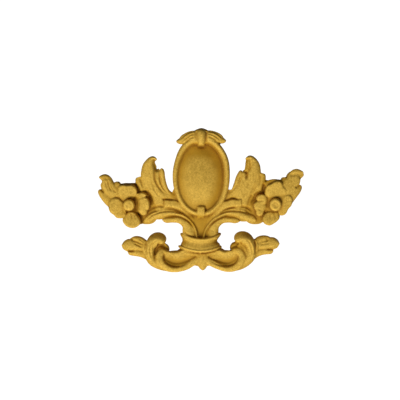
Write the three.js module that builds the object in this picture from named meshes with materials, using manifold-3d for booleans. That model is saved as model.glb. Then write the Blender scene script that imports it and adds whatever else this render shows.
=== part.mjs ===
// Carved applique in moulded wood pulp: an oval cartouche under a ribbon bow, acanthus wings with a
// blossom on each side, stems gathered in a collar, and a pair of C-scrolls below. It is one solid
// piece with a flat back. Millimetres, +Z up, the face looks along -Y, and the origin is on the back
// face, on the middle line, half-way up.
import * as THREE from 'three';
import { mergeVertices } from 'three/addons/utils/BufferGeometryUtils.js';
import Module from 'manifold-3d';

const wasm = await Module();
wasm.setup();

// Driving dimensions
const WIDTH = 200; // across the tips of the outer leaves
const DEPTH = 18; // from the flat back to the top of the blossom's bud
const GROUND = 6; // thickness of the plain ground behind the carving
const WOOD_PULP = 0xb98b3a;

// The carving is laid out on a drawing 200 wide and 18 deep, and follows WIDTH and DEPTH.
const plan = WIDTH / 200;
const rise = DEPTH / 18;
const ground = GROUND / rise;
const SAW_DEPTH = 3; // every form starts this far behind the back face, and is sawn off flat
const LEAST_HALF_WIDTH = 0.2; // a pointed tip is never thinner than this
const BODY_WALL = 0.62; // the part of a form's height that stands straight up at its edge
const FLUTE_WALL = 0.8; // the same for the low flutes that lie on a leaf
const OVAL_POWER = 2.1; // the cartouche is a little fuller than an ellipse
const OVAL_LEVEL = 24; // the level at which the cartouche is widest

// The right half was not carved quite like the left: near each spot [out, z] the work is shifted by
// [out, up], less and less over the given reach.
const handwork = [
  { spot: [94, 15], reach: 19, shift: [-0.6, 5] },
  { spot: [99, 23], reach: 6, shift: [1, 0.5] },
  { spot: [88, 25], reach: 6, shift: [-1.4, 1] },
  { spot: [98, 10], reach: 7, shift: [-1.6, 0] },
  { spot: [91, -4], reach: 9, shift: [-2, 2] },
  { spot: [72, 16], reach: 9, shift: [0.4, 2.8] },
  { spot: [76, 9], reach: 7, shift: [0.6, 2] },
  { spot: [83, -6], reach: 9, shift: [1.6, 2] },
  { spot: [84, -15], reach: 6, shift: [-3.4, 3.4] },
  { spot: [70, -6], reach: 8, shift: [2, 0] },
  { spot: [68, -22], reach: 9, shift: [-0.8, 2] },
  { spot: [59, 22], reach: 9, shift: [-1, 3.2] },
  { spot: [50, 38], reach: 9, shift: [0.8, 0.8] },
  { spot: [38, 29], reach: 5, shift: [0.6, -2.5] },
  { spot: [32, 15], reach: 12, shift: [-1.6, 0.6] },
  { spot: [43, -20], reach: 7, shift: [0, -2.8] },
  { spot: [56, -21], reach: 5, shift: [-1.8, 0.6] },
  { spot: [12, -29], reach: 5, shift: [-1, 0] },
  { spot: [64, -45], reach: 17, shift: [-1.6, 1.8] },
  { spot: [40, -36], reach: 9, shift: [-1, 0.8] },
  { spot: [32, -45], reach: 7, shift: [-3.8, 2] },
  { spot: [72, -42], reach: 6, shift: [0, 1] },
  { spot: [63, -38], reach: 7, shift: [0, -1] },
  { spot: [72, -48], reach: 5, shift: [0.6, -0.8] },
  { spot: [46, -64], reach: 8, shift: [-1.4, 1] },
  { spot: [15, -66], reach: 10, shift: [1, 1] },
  { spot: [17, 60], reach: 9, shift: [0.8, 0.8] },
];

// A place on the drawing: `out` from the middle line on the left (-1) or right (+1) side. A form that
// only one side has is placed as it is, with side 0.
function place(side, out, z) {
  if (side < 0) return [-out, z];
  if (side === 0) return [out, z];
  const nudged = [out, z];
  for (const { spot, reach, shift } of handwork) {
    const share = Math.exp(-((Math.hypot(out - spot[0], z - spot[1]) / reach) ** 2));
    nudged[0] += share * shift[0];
    nudged[1] += share * shift[1];
  }
  return nudged;
}

// Turns a closed geometry into a solid, after moving each vertex.
function solid(geometry, move) {
  const position = geometry.getAttribute('position');
  for (let i = 0; i < position.count; i++) {
    position.setXYZ(i, ...move(position.getX(i), position.getY(i), position.getZ(i)));
  }
  geometry.deleteAttribute('normal');
  geometry.deleteAttribute('uv');
  const merged = mergeVertices(geometry, 1e-4);
  const vertProperties = new Float32Array(merged.getAttribute('position').array);
  const triVerts = new Uint32Array(merged.index.array);
  const made = new wasm.Manifold(new wasm.Mesh({ numProp: 3, vertProperties, triVerts }));
  if (made.volume() > 0) return made;
  triVerts.reverse();
  return new wasm.Manifold(new wasm.Mesh({ numProp: 3, vertProperties, triVerts }));
}

// A vertex of the relief: across and up on the drawing, and a height above the back face.
const relief = (x, z, height) => [x * plan, -height * rise, z * plan];
const behind = (x, z) => [x * plan, SAW_DEPTH, z * plan];

// A strip: a leaf lobe, stem or band that follows stations [out, z, half width, height].
// `close` rounds the far end off, and a small value draws it out to a point.
function strip(side, stations, { along = 7, across = 4, close = 10, wall = BODY_WALL, lean = 0 } = {}) {
  const places = stations.map(([out, z]) => new THREE.Vector2(...place(side, out, z)));
  const sizes = stations.map(([, , half, height]) => new THREE.Vector2(half, height));
  const spine = new THREE.SplineCurve(places);
  const section = new THREE.SplineCurve(sizes);
  return solid(new THREE.BoxGeometry(1, 1, 1, along, 1, across), (x, y, z) => {
    const t = Math.sin((Math.PI / 2) * (x + 0.5));
    const s = Math.sin(Math.PI * z);
    const centre = spine.getPoint(t);
    const ahead = spine.getTangent(Math.min(t, 0.999));
    const { x: half, y: height } = section.getPoint(t);
    const reach = Math.max(LEAST_HALF_WIDTH, half * Math.sqrt(Math.max(0, 1 - t ** close))) * s;
    const px = centre.x - ahead.y * reach;
    const pz = centre.y + ahead.x * reach;
    if (y > 0) return behind(px, pz);
    const crown = wall + (1 - wall) * Math.sqrt(Math.max(0, 1 - s * s));
    return relief(px, pz, height * crown * (1 + lean * side * s));
  });
}

// A low flute or ridge that lies on a leaf or stem.
const flute = (side, stations, along = 6) => strip(side, stations, { along, across: 2, wall: FLUTE_WALL });

// A strip of plain ground with an upright edge and a square end.
const plainStrip = (side, stations, along) => (
  strip(side, stations, { along, across: 2, close: 30, wall: 1 })
);

// A low cushion on an upright wall, such as a petal's lobe, tilted by so much a millimetre outwards
// and upwards. `square` is 2 for a round outline and more for a fuller one.
function cushion(side, out, z, halfAcross, halfUp, height, options = {}) {
  const { tilt = [0, 0], around = 12, rings = 2, square = 2.5, wall = 0.72 } = options;
  const [cx, cz] = place(side, out, z);
  const outwards = side < 0 ? -1 : 1;
  const profile = [];
  for (let i = 0; i <= rings; i++) {
    const angle = (Math.PI / 2) * (i / rings);
    profile.push(new THREE.Vector2(Math.sin(angle), -wall - (1 - wall) * Math.cos(angle)));
  }
  profile.push(new THREE.Vector2(1, 1), new THREE.Vector2(0, 1));
  return solid(new THREE.LatheGeometry(profile, around), (x, y, w) => {
    const away = Math.atan2(w, x);
    const full = (Math.abs(Math.cos(away)) ** square + Math.abs(Math.sin(away)) ** square) ** (-1 / square);
    const [u, v] = [x * full * halfAcross, w * full * halfUp];
    if (y > 0) return behind(cx + u, cz + v);
    return relief(cx + u, cz + v, -y * height + tilt[0] * outwards * u + tilt[1] * v);
  });
}

// A pad of plain ground.
function pad(side, out, z, halfAcross, halfUp, height = ground) {
  return cushion(side, out, z, halfAcross, halfUp, height, { rings: 1, wall: 1 });
}

// The cartouche's oval, as wide as `half` and reaching `up` and `down` from its widest level.
function oval(angle, { half, up, down }) {
  const power = (value) => Math.sign(value) * Math.abs(value) ** (2 / OVAL_POWER);
  const z = power(Math.sin(angle));
  return [power(Math.cos(angle)) * half, OVAL_LEVEL + z * (z > 0 ? up : down)];
}

// The domed field inside the frame. It falls away a little towards the top right.
function field() {
  const edge = { half: 22, up: 30.6, down: 34.5, height: 7 };
  const [crown, fullness, fall] = [14.6, 1.6, 0.06];
  const rings = 6;
  const profile = [];
  for (let i = 0; i <= rings; i++) {
    const share = i / rings;
    const dome = edge.height + (crown - edge.height) * (1 - share ** 2) ** fullness;
    profile.push(new THREE.Vector2(share, -dome));
  }
  profile.push(new THREE.Vector2(1, 1), new THREE.Vector2(0, 1));
  return solid(new THREE.LatheGeometry(profile, 32), (x, y, w) => {
    const radius = Math.hypot(x, w);
    const [ox, oz] = oval(Math.atan2(w, x), edge);
    const px = ox * radius;
    const up = (oz - OVAL_LEVEL) * radius;
    if (y > 0) return behind(px, OVAL_LEVEL + up);
    return relief(px, OVAL_LEVEL + up, -y - fall * (px + up));
  });
}

// The rounded frame around the field. It leans a little to the right near the top.
function frame() {
  const inner = { half: 21, up: 29.6, down: 33.5 };
  const outer = { half: 27.8, up: 38.4, down: 41 };
  const [crown, edge] = [13.2, 8];
  const lean = { offset: 0.2, more: 0.55, level: 40, reach: 10 };
  const tube = 0.25;
  return solid(new THREE.TorusGeometry(1, tube, 8, 40), (x, y, w) => {
    const angle = Math.atan2(y, x);
    const share = ((Math.hypot(x, y) - 1) / tube + 1) / 2;
    const [ix, iz] = oval(angle, inner);
    const [ox, oz] = oval(angle, outer);
    const pz = iz + (oz - iz) * share;
    const leaning = lean.offset + lean.more * Math.exp(-(((pz - lean.level) / lean.reach) ** 2));
    const px = ix + (ox - ix) * share + leaning;
    const lifted = w / tube;
    return lifted < -0.01 ? behind(px, pz) : relief(px, pz, edge + (crown - edge) * lifted);
  });
}

// The collar that gathers the stems: a turned ring whose rim and foot dip towards the middle. At each
// level [down, left, right] its two sides reach out differently.
function collar() {
  const [top, offset, widest, crown, flat] = [-29.6, -0.5, 21.8, 14.5, 2];
  const dip = { rim: 7, foot: 5.2 };
  const levels = [
    [0, 17.6, 18.2],
    [0.8, 19.2, 19.6],
    [2.4, 19.8, 20.2],
    [3.9, 19.1, 19.3],
    [5.6, 17.8, 16.9],
    [7.2, 17.6, 15.9],
    [9, 18, 16.9],
    [11.2, 18.9, 18.7],
    [13, 20, 19.4],
    [14.2, 21.5, 20.2],
    [15.4, 21.8, 20.8],
    [16.4, 21.2, 20.6],
  ];
  const tall = levels.at(-1)[0];
  const wall = levels.map(([down]) => new THREE.Vector2(1, -down));
  const profile = [new THREE.Vector2(0, 0), ...wall, new THREE.Vector2(0, -tall)];
  return solid(new THREE.LatheGeometry(profile, 24), (across, down, back) => {
    const [, left, right] = levels.find(([level]) => Math.abs(level + down) < 0.01);
    const radius = left + ((right - left) * (across + 1)) / 2;
    const [x, w] = [across * radius, back * radius];
    const deep = dip.rim + (dip.foot - dip.rim) * (-down / tall);
    const z = top + down - deep * (1 - (x / widest) ** 2);
    const height = (-w / widest) * crown;
    return height > 0 ? relief(x + offset, z, height + flat) : behind(x + offset, z);
  });
}

// One half of the ribbon bow on top of the frame.
function bow(side) {
  return [
    strip(side, [
      [2, 60.6, 6.3, 12.2], [9, 61, 6.1, 13.2], [15.5, 59.2, 5, 12.2], [20, 57.2, 3.2, 11.2],
      [24, 56.8, 1.5, 10.4],
    ], { close: 14 }),
    flute(side, [[3, 64.4, 1.6, 13.2], [9, 65, 1.8, 14], [15, 62.2, 1.6, 13], [21, 58.2, 1, 11.4]], 5),
    flute(side, [
      [3, 60.4, 1.7, 13.6], [9, 60.8, 1.7, 14.4], [14.8, 58.8, 1.5, 13.2], [19, 56.6, 1, 11.4],
    ], 5),
  ];
}

// The knot that stands up through the bow, and the short band across it.
function knot() {
  return [
    strip(1, [
      [0.2, 52.8, 3.4, 13.5], [0.3, 57, 4.1, 16], [0.4, 63, 4.4, 17], [0.4, 67, 5, 15.6],
      [0.4, 69.9, 4.2, 12.6],
    ], { close: 6 }),
    strip(1, [
      [-6.6, 65.6, 1.4, 11.4], [-3.6, 67, 1.7, 12.6], [0.4, 67.6, 2.1, 14.2], [4.2, 67, 1.7, 12.6],
      [7, 65.6, 1.4, 11.4],
    ], { along: 6, across: 2, close: 12 }),
  ];
}

// The big acanthus leaf beside the cartouche: a broad blade with a hooked tip and a lobe on each side.
function bigLeaf(side) {
  return [
    strip(side, [
      [34, -8, 10.5, 8.8], [41.4, 5.6, 7.4, 9.6], [49.4, 19, 8.3, 10.2], [50.3, 29.5, 7.5, 10.8],
      [48.6, 35.8, 5.9, 11.4], [46.4, 39.4, 3.7, 11.6], [42.8, 39.6, 1.3, 11.4],
    ], { along: 11, close: 14, lean: 0.05 }),
    strip(side, [
      [25.4, 2.6, 2.6, 8.5], [32.2, 7.8, 2.4, 9.6], [35.4, 13.8, 2.5, 10.2], [37.2, 21.5, 2.5, 10.6],
      [37.8, 27.2, 2.5, 10.6], [38.4, 30.8, 2.1, 9.8],
    ], { wall: 0.7 }),
    flute(side, [
      [26, 1.8, 2, 8.5], [34, 6, 2.2, 9.6], [39.3, 12.6, 2.5, 10.2], [41.9, 20, 2.7, 10.6],
      [42.2, 26.6, 2.5, 10.2], [41, 30.4, 1.5, 9.4],
    ]),
    strip(side, [
      [50, 4.6, 3.4, 7.6], [55.6, 11, 4.2, 8.8], [59.4, 17, 4.1, 9.4], [60, 22.4, 4.2, 9],
    ], { along: 5 }),
  ];
}

// The outer leaf behind the blossom, with its hooked tip and two side lobes.
function outerLeaf(side) {
  return [
    strip(side, [
      [74, -4, 8, 11], [84, 5.5, 7.8, 11.6], [90, 13, 7.1, 11.4], [92, 18.8, 5.8, 11],
      [94.2, 21.4, 4.2, 10.6], [99, 22.2, 1.5, 10],
    ], { along: 9, close: 14 }),
    strip(side, [
      [80, -9, 5, 10.6], [89.2, -0.6, 5, 11], [94.6, 4.8, 4.1, 10.2], [99.2, 9.8, 2.7, 9],
    ], { along: 6 }),
    strip(side, [
      [76, 6, 4.4, 9.4], [80.8, 12.6, 4.2, 9.8], [82.4, 17.6, 3.4, 8.8],
    ], { along: 4, across: 2, close: 20 }),
  ];
}

// On the right side the tips of the big leaf and of the outer leaf are blunter.
function bluntTips() {
  return [
    strip(0, [
      [44.8, 27, 3, 9.4], [45.4, 31, 2.8, 10], [46, 36, 2.8, 10.4], [46.4, 40, 3, 9.6],
    ], { along: 5, across: 2 }),
    strip(0, [[92.6, 17, 2.6, 9.6], [94.4, 22, 2.8, 9.6], [99.6, 25.3, 2, 9.2]], { along: 5, across: 2 }),
    strip(0, [[84.4, 17, 2.8, 8.6], [87, 22.8, 4, 9.4], [90.4, 25.6, 3.6, 9.6]], { along: 5, across: 2 }),
  ];
}

// The stems that fan out of the collar: the square-ended strap, the long leaf with its thin ridge, and
// the short leaf below them.
function stems(side) {
  return [
    strip(side, [
      [7, -21, 2, 8], [13, -13.6, 2.8, 9.8], [20.5, -6.8, 3.6, 10.6], [28, -3.4, 3.8, 11],
      [35.6, -3.2, 3.6, 11],
    ], { along: 6, close: 60, wall: 0.86 }),
    strip(side, [
      [5.4, -38, 1.6, 9.4], [7.8, -27, 2, 10], [12.7, -20.4, 2.2, 10.4], [19, -15.4, 2.6, 10.6],
      [27, -12.9, 2.9, 10.4], [36, -13.4, 4, 10], [44.4, -14.9, 3.9, 9.4], [51, -18.6, 4.4, 8.8],
      [56, -20.8, 3.2, 8],
    ], { along: 10 }),
    flute(side, [
      [4.4, -38, 0.9, 10.2], [5, -30, 1, 10.8], [8.4, -23, 1.1, 11.4], [13, -17.6, 1.1, 11.6],
      [20, -11.9, 1.1, 11.8], [28, -9.1, 1.2, 11.8], [36, -9.7, 1.2, 11.6], [43.6, -12.1, 1.2, 11.2],
      [50, -16.2, 1, 10.4],
    ], 10),
    strip(side, [
      [10.4, -38, 5.8, 9.6], [11.6, -30.5, 6.4, 10.2], [14, -23.8, 4.8, 10.6], [20, -19.4, 3.7, 10.6],
      [27.5, -18.7, 3.3, 10.2], [33.5, -19.1, 3.4, 9.6], [37.4, -19.2, 2.2, 9],
    ], { close: 12 }),
  ];
}

// A blossom: petals [x, z, half width, half height, height, tilt to the right, tilt upwards] around a
// bud at [x, z]. The two blossoms differ.
function blossom([x, z], petals) {
  const radius = 5.6;
  const made = petals.map(([px, pz, halfAcross, halfUp, height, ...tilt]) => (
    cushion(0, px, pz, halfAcross, halfUp, height, { tilt, around: 10, square: 2.4, wall: 0.78 })
  ));
  return [...made, cushion(0, x, z, radius, radius, DEPTH / rise, { square: 2, rings: 3, wall: 0.66 })];
}

function leftBlossom() {
  return blossom([-70, -5], [
    [-71.4, 8.4, 10, 7.8, 12.6, 0, 0.16],
    [-66.6, 11, 4.8, 4.8, 11.8, 0, 0.1],
    [-79.2, -12.4, 6.8, 5.6, 11.6, -0.1, 0],
    [-81.4, -6.2, 7.7, 8.6, 12.8, -0.14, 0],
    [-66.8, -19.1, 9, 8.2, 12.6, 0, -0.14],
    [-58.4, 3.8, 5.2, 4.8, 11.2, 0.2, 0.1],
    [-56.4, -8.6, 6, 6, 12, 0.2, 0],
    [-56.6, -2.4, 7, 7, 12.4, 0.24, 0],
  ]);
}

function rightBlossom() {
  return blossom([72.2, -4.6], [
    [66, 13.4, 5, 6, 9.2, 0, 0],
    [74, 14.6, 6.6, 5.6, 9.8, 0, 0],
    [79.4, 12.2, 4, 4.4, 10.6, 0, 0],
    [71.2, 11.2, 9, 8.2, 12.6, 0, 0.14],
    [79.4, -10, 5, 4.8, 11.4, 0.1, 0],
    [83.4, -1.6, 5.9, 7.4, 12.6, 0.16, 0],
    [66, -17.8, 7.4, 7.4, 12.4, 0, -0.14],
    [71, -15.8, 5.4, 5.6, 12.2, 0, -0.14],
    [57.2, 1.4, 5.2, 5.4, 11, -0.12, 0],
    [56, -4.6, 5.4, 6.2, 12, -0.2, 0],
    [57.6, -11, 4.8, 5, 11.8, -0.16, -0.05],
  ]);
}

// The plain ground that ties the carving together.
function backing(side) {
  return [
    pad(side, 65, -6.4, 11.4, 13.6),
    pad(side, 52.6, -12.4, 10.6, 11.2),
    pad(side, 71, 6.6, 10, 10),
    pad(side, 40, -48, 7.6, 7.6, ground + 0.6),
    pad(side, 27.4, 3.2, 3.6, 3, ground + 2),
    plainStrip(side, [[8, -10, 10, ground + 2.4], [24, -4, 8, ground + 2.6], [38, -2, 9, ground + 2.4]], 4),
    plainStrip(side, [
      [36, -1, 10, ground], [56, 3.4, 12.4, ground], [72, 4, 12.2, ground], [86, 3, 9, ground],
    ], 6),
  ];
}

// Ground that shows on one side only.
function oddGround() {
  return [
    pad(0, 41.6, -17.4, 7, 3.6, ground + 1),
    pad(0, -41, -15.6, 5.6, 3.4, ground + 1),
    pad(0, -60, -18.6, 6, 5),
    pad(0, 70, -3.4, 10, 10, ground + 3),
    pad(0, 63, 16, 3, 3.6),
    pad(0, 17, 55.4, 2, 2),
    pad(0, 28, 7.8, 4, 4, ground + 2),
    pad(0, -25.8, 6, 2, 4.6, ground + 2),
  ];
}

// One C-scroll, the leaf that curls over it, the leaf tips at its outer end and the spoon inside it.
function scroll(side) {
  return [
    cushion(side, 20.6, -57.2, 20, 8.3, 7.4, { square: 2.4, wall: 0.9, tilt: [0.04, 0.42], around: 16 }),
    cushion(side, 13.4, -52, 10.4, 5.8, 8.6, { wall: 0.8 }),
    cushion(side, 36.4, -47.6, 5.8, 5.8, 9.6, { square: 2, wall: 0.4 }),
    strip(side, [
      [1, -57, 3.6, 10.4], [7.4, -60.2, 3.4, 10.8], [14.6, -64.9, 3, 11.4], [24, -67.5, 2.6, 12],
      [32.4, -66, 3.2, 12.6], [38.8, -61.2, 3.8, 13.2], [40.6, -55.4, 3.8, 13], [38.2, -50.8, 3.5, 12],
      [34.6, -50, 2.9, 10.8], [31.4, -52.2, 2.2, 9.4],
    ], { along: 14, close: 20, wall: 0.52 }),
    strip(side, [
      [26, -67, 2.8, 9], [37.4, -64.8, 3.6, 10.4], [46, -59.6, 4.9, 11.8], [50, -52.4, 5, 13.4],
      [49, -44.4, 5.2, 14.6], [44.4, -38.9, 6.7, 15.2], [39.4, -38.4, 6.4, 14.6], [37.2, -42.6, 4.2, 12.6],
    ], { along: 12, close: 20, wall: 0.56 }),
    strip(side, [
      [54, -39.4, 1.5, 9.8], [55.6, -46, 1.8, 11.4], [53.4, -54.4, 1.8, 10],
    ], { along: 4, across: 2 }),
    strip(side, [
      [53, -44, 3.4, 9.4], [58.2, -40, 3.9, 10.2], [63.2, -38.2, 3.3, 10.2], [69, -39.6, 2.6, 9.4],
    ], { along: 5 }),
    strip(side, [
      [54, -47, 3.8, 9.8], [61, -45, 4.2, 10.8], [69.4, -44.1, 6.3, 10.8], [74.4, -44, 4.6, 10],
      [76.8, -43.8, 2.2, 9.2],
    ], { along: 6 }),
    strip(side, [
      [50, -55.4, 3.8, 9.4], [57, -52.2, 3.6, 9.8], [64, -50.9, 3.6, 9.8], [70.8, -50.4, 3.6, 9],
    ], { along: 5 }),
  ];
}

// The middle: the recess between the stems, the pendant leaf and what carries it, and the frame's peg.
function middle() {
  return [
    plainStrip(1, [[0, -4, 12, ground + 0.8], [0, -20, 9, ground + 0.8], [0, -38, 9, ground + 0.8]], 3),
    cushion(1, -0.6, -49, 17, 5, 9.8, { rings: 1, wall: 1, square: 3 }),
    pad(1, 1.2, -60, 10, 4.6, 9),
    strip(1, [
      [1, -50, 6.4, 10.4], [1.2, -56, 6.6, 11.2], [1.4, -61, 6.8, 11], [1.6, -68.3, 4.8, 9.4],
    ], { along: 6, close: 3.4 }),
    strip(1, [
      [0.3, -17.4, 4, 11], [0.3, -13, 4.4, 14.6], [0.3, -9, 4.4, 15.2], [0.3, -5.2, 4, 14],
    ], { along: 5, close: 5, wall: 0.72 }),
  ];
}

const bothSides = (form) => [...form(-1), ...form(1)];
const forms = [
  ...bothSides(backing),
  ...oddGround(),
  ...bothSides(scroll),
  ...middle(),
  ...bothSides(outerLeaf),
  ...bothSides(bigLeaf),
  ...bluntTips(),
  ...bothSides(stems),
  ...leftBlossom(),
  ...rightBlossom(),
  ...bothSides(bow),
  ...knot(),
  field(),
  frame(),
  collar(),
];

// Joins the forms and saws the back off flat.
function carved() {
  const size = 2 * WIDTH;
  const offcut = solid(new THREE.BoxGeometry(size, size, size), (x, y, z) => [x, y + size / 2, z]);
  const mesh = wasm.Manifold.union(forms).subtract(offcut).getMesh();
  const geometry = new THREE.BufferGeometry();
  geometry.setAttribute('position', new THREE.BufferAttribute(new Float32Array(mesh.vertProperties), 3));
  geometry.setIndex(new THREE.BufferAttribute(new Uint32Array(mesh.triVerts), 1));
  geometry.computeVertexNormals();
  return geometry;
}

const applique = new THREE.Mesh(
  carved(),
  new THREE.MeshStandardMaterial({ color: WOOD_PULP, roughness: 0.75, metalness: 0 }),
);
applique.name = 'applique';

const part = new THREE.Group();
part.add(applique);

export default part;
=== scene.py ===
import math

import bmesh
import bpy
import numpy as np
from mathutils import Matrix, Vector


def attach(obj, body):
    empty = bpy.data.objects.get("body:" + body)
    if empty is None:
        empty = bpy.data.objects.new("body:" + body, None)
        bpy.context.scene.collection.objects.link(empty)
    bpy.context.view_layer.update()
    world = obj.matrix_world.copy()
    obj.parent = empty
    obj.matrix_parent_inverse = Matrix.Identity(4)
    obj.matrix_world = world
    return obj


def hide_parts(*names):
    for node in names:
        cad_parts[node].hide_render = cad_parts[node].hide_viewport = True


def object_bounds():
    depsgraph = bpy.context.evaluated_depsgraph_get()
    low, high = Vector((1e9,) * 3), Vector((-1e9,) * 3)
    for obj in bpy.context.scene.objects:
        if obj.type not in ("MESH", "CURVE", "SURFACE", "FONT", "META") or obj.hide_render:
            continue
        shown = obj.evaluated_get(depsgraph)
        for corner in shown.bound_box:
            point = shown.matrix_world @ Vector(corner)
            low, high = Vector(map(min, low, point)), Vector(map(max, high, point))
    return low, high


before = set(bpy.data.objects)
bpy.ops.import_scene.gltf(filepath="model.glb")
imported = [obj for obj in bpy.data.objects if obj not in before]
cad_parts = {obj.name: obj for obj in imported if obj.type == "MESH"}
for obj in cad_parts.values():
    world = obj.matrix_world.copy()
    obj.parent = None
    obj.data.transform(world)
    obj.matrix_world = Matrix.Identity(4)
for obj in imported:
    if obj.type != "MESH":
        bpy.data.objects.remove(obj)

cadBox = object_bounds()
print("frame loaded:", sorted(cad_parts))


# The relief is worked on a board seen from the front, in millimetres, x to the right and z up.
# Every spot of the board has a height out of the wall, and how far inside the outline it lies.
board = {
    "cell": 0.43,        # spacing of the spots
    "halfWide": 101.2,
    "halfHigh": 71.4,
    "ground": 6.0,       # the plain ground behind the carving
    "worn": 0.36,        # how far every edge is worn round
    "outlineWorn": 0.3,
    "unevenness": 0.16,  # height of the slow waves left by the mould
    "waves": 2.6,        # and their reach
    "seed": 11,
    "beyond": -40.0,     # what lies outside every form
    "leastReach": 0.2,   # half width of a ribbon that is drawn out to a point
    "squareFrom": 30,    # a ribbon that closes this fast has a square end
}

# The right half was not carved quite like the left. [out, z, reach, shift outwards, shift upwards]:
# near each spot the work is shifted, less and less over its reach.
handwork = [
    [94, 15, 19, -0.6, 5], [99, 23, 6, 1, 0.5], [88, 25, 6, -1.4, 1], [98, 10, 7, -1.6, 0],
    [91, -4, 9, -2, 2], [72, 16, 9, 0.4, 2.8], [76, 9, 7, 0.6, 2], [83, -6, 9, 1.6, 2],
    [84, -15, 6, -3.4, 3.4], [70, -6, 8, 2, 0], [68, -22, 9, -0.8, 2], [59, 22, 9, -1, 3.2],
    [50, 38, 9, 0.8, 0.8], [38, 29, 5, 0.6, -2.5], [32, 15, 12, -1.6, 0.6], [43, -20, 7, 0, -2.8],
    [12, -29, 5, -1, 0], [64, -45, 17, -1.6, 1.8], [40, -36, 9, -1, 0.8], [32, -45, 7, -3.8, 2],
    [72, -42, 6, 0, 1], [63, -38, 7, 0, -1], [72, -48, 5, 0.6, -0.8], [56, -21, 5, -1.8, 0.6],
    [46, -64, 8, -1.4, 1], [15, -66, 10, 1, 1], [17, 60, 9, 0.8, 0.8],
]


def place(side, out, z):
    # a spot `out` from the middle on the left (-1) or right (1), or just as it is (0)
    if side <= 0:
        return [-out if side else out, z]
    x, up = out, z
    for spotOut, spotZ, reach, shiftOut, shiftUp in handwork:
        share = math.exp(-(((out - spotOut) ** 2 + (z - spotZ) ** 2) / reach**2))
        x += share * shiftOut
        up += share * shiftUp
    return [x, up]


def flow(stations, steps=9):
    # a smooth line through the stations, as a bent lath lies
    points = np.array(stations, float)
    last = len(points) - 1
    t = np.linspace(0, last, last * steps + 1)
    i = np.minimum(t.astype(int), last - 1)
    w = (t - i)[:, None]
    a, b = points[i], points[i + 1]
    va = (b - points[np.maximum(i - 1, 0)]) / 2
    vb = (points[np.minimum(i + 2, last)] - a) / 2
    return (2 * a - 2 * b + va + vb) * w**3 + (3 * b - 3 * a - 2 * va - vb) * w**2 + va * w + a


def worn(field, reach):
    # a Gaussian blur over `reach` millimetres
    taps = np.arange(-int(3 * reach / board["cell"]) - 1, int(3 * reach / board["cell"]) + 2)
    weights = np.exp(-0.5 * (taps * board["cell"] / reach) ** 2)
    weights /= weights.sum()
    for axis in (0, 1):
        padded = np.pad(field, [(len(taps) // 2,) * 2 if k == axis else (0, 0) for k in (0, 1)], "edge")
        field = sum(
            w * np.take(padded, range(k, k + field.shape[axis]), axis) for k, w in enumerate(weights)
        )
    return field


def domed(s, wall, full):
    # the crown of a form across its width: `wall` at its edges, 1 on its middle line
    return wall + (1 - wall) * np.maximum(0, 1 - np.abs(s) ** full) ** (1 / full)


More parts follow.
